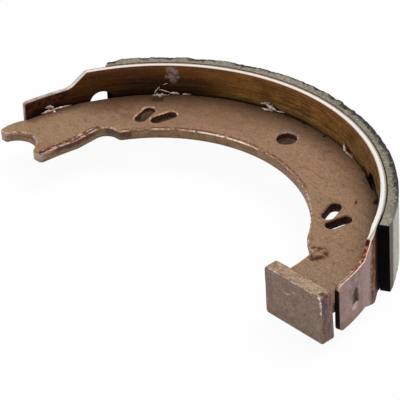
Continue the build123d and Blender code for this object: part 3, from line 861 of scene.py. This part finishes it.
def chipped_lining(material):
    """Friction block: an oblong section of (radius, height) carried round the drum axis.

    Its two worn corners are broken. At a distance d from a corner along the section, where the break
    reaches R, a point moves in by a share of R - d and is marked as broken; R changes along the arc. The
    outer radius falls off towards the ends, and each end is shut by a slightly smaller ring.
    """
    inner, outer, half = 76.7, lining_outer_radius, rim_half_width
    thickness = outer - inner
    first_angle, last_angle, slant = 28.65, 147.5, 0.9
    arc_steps, bonded_steps = 600, 9
    hair, beyond_reach = 1e-6, 99
    fine = np.array([0, 0.12, 0.24, 0.36, 0.48, 0.6, 0.75, 0.9, 1.1, 1.35, 1.7, 2.1])
    down = np.concatenate([fine, [2.7, 3.5]])
    far = np.concatenate([fine, [2.8, 4.0, 6.0, 8.5, 11.0]])
    # Section: up the top side, down the worn face, back along the bottom side, up the bonded face
    depth_in = [down[::-1], np.zeros(2 * len(far) - 1), down, np.full(bonded_steps - 2, thickness)]
    depth_in = np.concatenate(depth_in)
    height = [np.full(len(down), half), half - far[1:], far[::-1] - half, np.full(len(down), -half)]
    height = np.concatenate([*height, np.linspace(-half, half, bonded_steps)[1:-1]])
    on_face = depth_in < hair
    from_top = np.where(height > half - hair, depth_in, np.where(on_face, half - height, beyond_reach))
    from_bottom = np.where(height < hair - half, depth_in, np.where(on_face, half + height, beyond_reach))

    share = np.linspace(0, 1, arc_steps)[:, None]
    level = 1 - depth_in / thickness
    start = np.full(len(depth_in), first_angle)
    end = last_angle - slant * level
    angle = start + (end - start) * share
    arc = np.radians(share * (last_angle - first_angle) + first_angle)[:, 0] * outer

    # Outer radius: a short fall at the block end, heavier at the top, and a long one at the notch end
    block_fall = (0.35 - 0.2 * ramp(-height, -half, half)) * ramp(angle, 31.3, 28.7)
    fall = 1.3 * ramp(angle, 143.8, 146.6) + block_fall
    radius = outer - depth_in - fall * level
    z = np.broadcast_to(height, radius.shape).copy()
    broken = np.zeros_like(radius)
    for distance, side, seed in ((from_top, 1, 5), (from_bottom, -1, 15)):
        bays = 2.3 * ripple(arc, 5.5, seed) * ripple(arc, 1.7, seed + 1)
        teeth = 0.6 * ripple(arc, 0.8, seed + 2) ** 2
        reach = (0.3 + bays + teeth) * (1 - 0.75 * ramp(arc, 52, 44))
        ragged = reach[:, None] * (0.8 + 0.4 * crumple(arc[:, None], distance, 0.5, seed + 3))
        bite = np.clip(ragged - distance, 0, None)
        z -= side * bite * 0.14
        radius -= bite * 0.16
        broken = np.maximum(broken, ramp(ragged + 0.12 - distance, 0.0, 0.2))
    around_section = np.cumsum(np.ones_like(height)) * 0.4
    radius += 0.03 * (crumple(arc[:, None], around_section, 0.7, 31) - 1) * (depth_in < thickness)
    rings = np.stack([radius * np.cos(np.radians(angle)), radius * np.sin(np.radians(angle)), z], -1)

    # A ring just inside each end carries the end face's colour
    middle = rings[[0, -1]].mean(axis=1, keepdims=True)
    inset = middle + (rings[[0, -1]] - middle) * 0.985
    rings = np.concatenate([inset[:1], rings, inset[1:]])
    broken = np.concatenate([broken[:1], broken, broken[-1:]])
    end_face = np.zeros_like(broken)
    end_face[[0, -1]] = 1
    mesh = lofted_mesh("lining_block", [rings], {"broken": [broken], "end_face": [end_face]})
    mesh.validate()
    finished_piece("lining_block", mesh, material, ["lining"])
    mesh.set_sharp_from_angle(angle=radians(40))


def along_path(corners, count):
    """Points evenly spaced along straight runs between corners, then smoothed by averaging neighbours."""
    corners = np.asarray(corners, float)
    run = np.concatenate([[0], np.cumsum(np.linalg.norm(np.diff(corners[:, :3], axis=0), axis=1))])
    places = np.linspace(0, run[-1], count)
    path = np.stack([np.interp(places, run, corners[:, k]) for k in range(corners.shape[1])], -1)
    for _ in range(3):
        path[1:-1] = (path[:-2] + 2 * path[1:-1] + path[2:]) / 4
    return path


def thrown_ridge(angle, corners, seed):
    """Rings of a thin crooked ridge of weld metal, and how near each point is to its crest.

    Its corners are (distance along the rim, distance off the rim, height, thickness). A ring of random
    roundness is carried along the path, thick in the middle and drawn to a point at both ends.
    """
    around, count = 14, 40
    path = along_path(corners, count)
    travel = np.gradient(path[:, :3], axis=0)
    travel /= np.linalg.norm(travel, axis=1, keepdims=True)
    upright = np.array([0.15, 0.35, 1.0])
    sideways = np.cross(travel, upright)
    sideways /= np.linalg.norm(sideways, axis=1, keepdims=True)
    lift = np.cross(sideways, travel)
    share = np.linspace(0, 1, count)
    turn = np.linspace(0, 2 * np.pi, around, endpoint=False)
    taper = np.sin(np.pi * np.clip(share, 0.004, 0.996)) ** 0.45
    lumps = 0.65 + 0.7 * crumple(share[:, None] * 9, turn * 1.1, 1.0, seed)
    size = (path[:, 3] * taper)[:, None] * lumps
    rings = path[:, None, :3] + (size * np.cos(turn) * 0.7)[..., None] * sideways[:, None]
    rings = rings + (size * np.sin(turn))[..., None] * lift[:, None]
    # Painted light: the upper side of each ring is marked for a highlight, the lower side for shade
    crest_highlight = 0.45 + 0.4 * np.sin(turn) + 0.5 * (lumps - 1)
    rim_angle = np.radians(angle) + rings[..., 0] / rim_inner_radius
    radius = rim_inner_radius - rings[..., 1]
    around_axis = np.stack([radius * np.cos(rim_angle), radius * np.sin(rim_angle), rings[..., 2]], -1)
    return around_axis, np.clip(crest_highlight, 0, 1)


# Ridges of the welds, whose corners are (distance towards the notch, off the rim, height, thickness).
# Every weld has the bead. The table holds its angle, how far the rim is off its circle, and more ridges.
bead = [(-3.9, 0.1, 0, 0.9), (-1.5, 0.5, 0, 1.9), (1.5, 0.5, 0, 1.9), (3.9, 0.1, 0, 0.9)]
weld_ridges = {
    1: (13.2, -1.43, []),
    2: (43.3, 0, [
        [(-2.2, 0.5, 1.8, 0.3), (0, 0.9, 2.3, 0.45), (2.6, 0.4, 1.9, 0.3)],
    ]),
    3: (73.4, 0, [
        [(3.8, 0.2, 3.4, 0.4), (2.6, 0.8, 2.8, 0.85), (1, 1.3, 2.1, 0.9), (0.2, 1.4, 1.8, 0.5)],
        [(2, 1.1, 1.9, 0.45), (-0.4, 1.2, 1.9, 0.45), (-3.4, 1, 1.7, 0.3)],
    ]),
    4: (103.5, 0, [
        [(3.6, 0.3, 2.6, 0.3), (1.6, 0.5, 3.3, 0.4), (-0.4, 0.4, 4, 0.3)],
        [(1.4, 0.6, 3.4, 0.5), (-1.4, 1, 2.7, 0.95), (-3.4, 1, 2.1, 0.7)],
        [(2.4, 1.6, 1.9, 0.4), (0.2, 1.9, 1.9, 0.5), (-2.2, 1.3, 1.9, 0.5)],
        [(-2.8, 0.9, 2, 0.35), (-4.6, 0.8, 2.1, 0.3), (-6.6, 0.4, 2.3, 0.25)],
    ]),
    5: (133.6, 0, [
        [(-2.5, 0.2, 5.7, 0.2), (-0.8, 0.3, 5.2, 0.25)],
        [(2.3, 0.6, 1.7, 0.3), (1.4, 0.6, 3, 0.35), (0.3, 0.4, 4.6, 0.25)],
        [(0.6, 0.7, 3.6, 0.25), (-1.4, 0.8, 3, 0.3), (-3.2, 0.7, 2.3, 0.3)],
        [(3, 1.2, 1.7, 0.3), (1, 1.6, 1.8, 0.35), (-1.4, 1.6, 1.9, 0.3), (-3, 1.4, 1.8, 0.3)],
        [(-3, 0.9, 2.2, 0.35), (-4.8, 0.9, 2.2, 0.55), (-6.6, 0.7, 1.8, 0.45)],
        [(-7.4, 0.6, 1.7, 0.3), (-9, 0.5, 1.7, 0.35), (-10.4, 0.3, 1.6, 0.2)],
    ]),
    6: (163.7, 0.4, [
        [(3.4, 0.6, 1.8, 0.45), (1, 1, 2, 0.7), (-1.4, 0.9, 2, 0.55)],
        [(1.6, 0.3, 3.4, 0.5), (0.2, 0.5, 3.2, 0.9), (-1.6, 0.6, 2.7, 0.6)],
        [(-0.6, 0.9, 2.2, 0.5), (-3.2, 0.8, 2, 0.5), (-5.6, 0.4, 1.8, 0.35), (-8.2, 0.2, 1.6, 0.2)],
    ]),
}


def weld_flash(weld, material):
    """All the ridges of one projection weld as one piece."""
    angle, stand_off, ridges = weld_ridges[weld]
    moved = [[(s, off + stand_off, z, size) for s, off, z, size in corners] for corners in [bead, *ridges]]
    made = [thrown_ridge(angle, corners, 40 * weld + n) for n, corners in enumerate(moved)]
    name = f"rim_weld_{weld}_flash"
    mesh = lofted_mesh(name, [rings for rings, _ in made], {"crest_highlight": [crest_highlight for _, crest_highlight in made]})
    finished_piece(name, mesh, material, [f"rim_weld_{weld}"])


def rippled_bead(material):
    """Fillet weld behind the block: a hollow-faced triangle carried along X, swelling at every ripple."""
    low, high = (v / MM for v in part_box("block_weld"))
    count, ripples, hollow = 150, 11, 1.25
    place = np.linspace(0, 1, count)
    leg_back, leg_down = high.y - low.y, high.z - low.z
    # Face of the bead from the block down to the web, and its two hidden sides
    share = np.linspace(0, 1, 15)
    side_share = np.linspace(0, 1, 5)
    face = np.stack([leg_back * (1 - share) ** hollow, leg_down * share**hollow], -1)
    block_side = np.stack([np.zeros(5), side_share[::-1] * leg_down], -1)[1:]
    web_side = np.stack([side_share * leg_back, np.zeros(5)], -1)[1:-1]
    section = np.concatenate([face, block_side, web_side])
    swell = 0.93 + 0.05 * np.abs(np.sin(place * np.pi * ripples)) + 0.02 * ripple(place * 9, 1.0, 77)
    swell = swell * (0.55 + 0.45 * np.sin(np.pi * np.clip(place, 0.02, 0.98)) ** 0.3)
    grown = section[None] * swell[:, None, None]
    rings = np.empty((count, len(section), 3))
    rings[..., 0] = low.x + (high.x - low.x) * place[:, None]
    rings[..., 1] = low.y + grown[..., 0]
    rings[..., 2] = high.z - grown[..., 1]
    # Painted highlight: each ripple's swell is marked paler
    crest_highlight = np.broadcast_to(0.35 + 0.25 * (swell[:, None] - 0.9) / 0.1, rings.shape[:2]).clip(0, 1)
    mesh = lofted_mesh("block_weld_bead", [rings], {"crest_highlight": [crest_highlight]})
    finished_piece("block_weld_bead", mesh, material, ["block_weld"])
    mesh.set_sharp_from_angle(angle=radians(50))


softened("web", web_paint(), 0.18)
softened("rim", rim_paint(), 0.18)
softened("end_block", block_paint(), 0.25)
chipped_lining(friction_lining())
weld_material = weld_metal()
for weld in weld_ridges:
    weld_flash(weld, weld_material)
rippled_bead(weld_material)

film_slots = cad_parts["adhesive_film"].data.materials
film_slots.clear()
film_slots.append(bond_film())

# ---------------------------------------------------------------- studio

# Camera: far off, with a long lens
camera_place = Vector((593.2, -509.0, 543.5)) * MM
camera_back = Vector((0.6139, -0.5508, 0.5654)).normalized()
camera_roll = -0.0511
camera_lens = 267.2

level_right = Vector((0, 0, 1)).cross(camera_back).normalized()
level_up = camera_back.cross(level_right)
right = level_right * cos(camera_roll) + level_up * sin(camera_roll)
up = level_up * cos(camera_roll) - level_right * sin(camera_roll)
camera = bpy.data.objects.new("camera", bpy.data.cameras.new("camera"))
camera.data.lens = camera_lens
camera.data.sensor_width = 36
camera.data.clip_start = 0.05
camera.data.clip_end = 50
camera_turn = Matrix((right, up, camera_back)).transposed().to_4x4()
camera.matrix_world = Matrix.Translation(camera_place) @ camera_turn
bpy.context.scene.collection.objects.link(camera)
bpy.context.scene.camera = camera


def soft_light(name, place, size, strength):
    """A square soft box of size metres at a place in millimetres, facing the shoe."""
    shoe_middle = Vector((0, 20, 0))
    data = bpy.data.lights.new(name, "AREA")
    data.shape = "SQUARE"
    data.size = size
    data.energy = strength
    light = bpy.data.objects.new(name, data)
    light.location = Vector(place) * MM
    light.rotation_euler = (Vector(place) - shoe_middle).to_track_quat("Z", "Y").to_euler()
    bpy.context.scene.collection.objects.link(light)


soft_light("top_box", (60, 450, 820), 0.6, 6.0)
soft_light("front_box", (-450, -850, 420), 0.7, 3.2)

world = bpy.data.worlds.new("studio")
bpy.context.scene.world = world
world.use_nodes = True
sky = world.node_tree.nodes["Background"]
sky.inputs["Color"].default_value = (1, 1, 1, 1)
sky.inputs["Strength"].default_value = 0.37

# Floor: plain white, seen as white, with the shoe's faint shadow
floor_mesh = bpy.data.meshes.new("floor")
floor_reach = 3.0
floor_corners = ((-1, -1), (1, -1), (1, 1), (-1, 1))
floor_points = [(x * floor_reach, y * floor_reach, rim_low.z) for x, y in floor_corners]
floor_mesh.from_pydata(floor_points, [], [(0, 1, 2, 3)])
floor = bpy.data.objects.new("floor", floor_mesh)
bpy.context.scene.collection.objects.link(floor)
floor_finish = Finish("floor_white")
floor_finish.set(base_color=srgb(246, 246, 247), roughness=0.9)
white_for = ("Is Camera Ray", "Is Glossy Ray", "Is Transmission Ray")
rays = [floor_finish.node("ShaderNodeLightPath", output=kind) for kind in white_for]
plain = Value(floor_finish, floor_finish.shader.outputs[0])
glow = floor_finish.node("ShaderNodeEmission")
blend = floor_finish.node("ShaderNodeMixShader", {}, [either(*rays) * 0.95, plain, glow])
floor_finish.feed(floor_finish.tree.nodes["Material Output"].inputs["Surface"], blend)
floor_mesh.materials.append(floor_finish.material)

bpy.context.scene.view_settings.view_transform = "Standard"
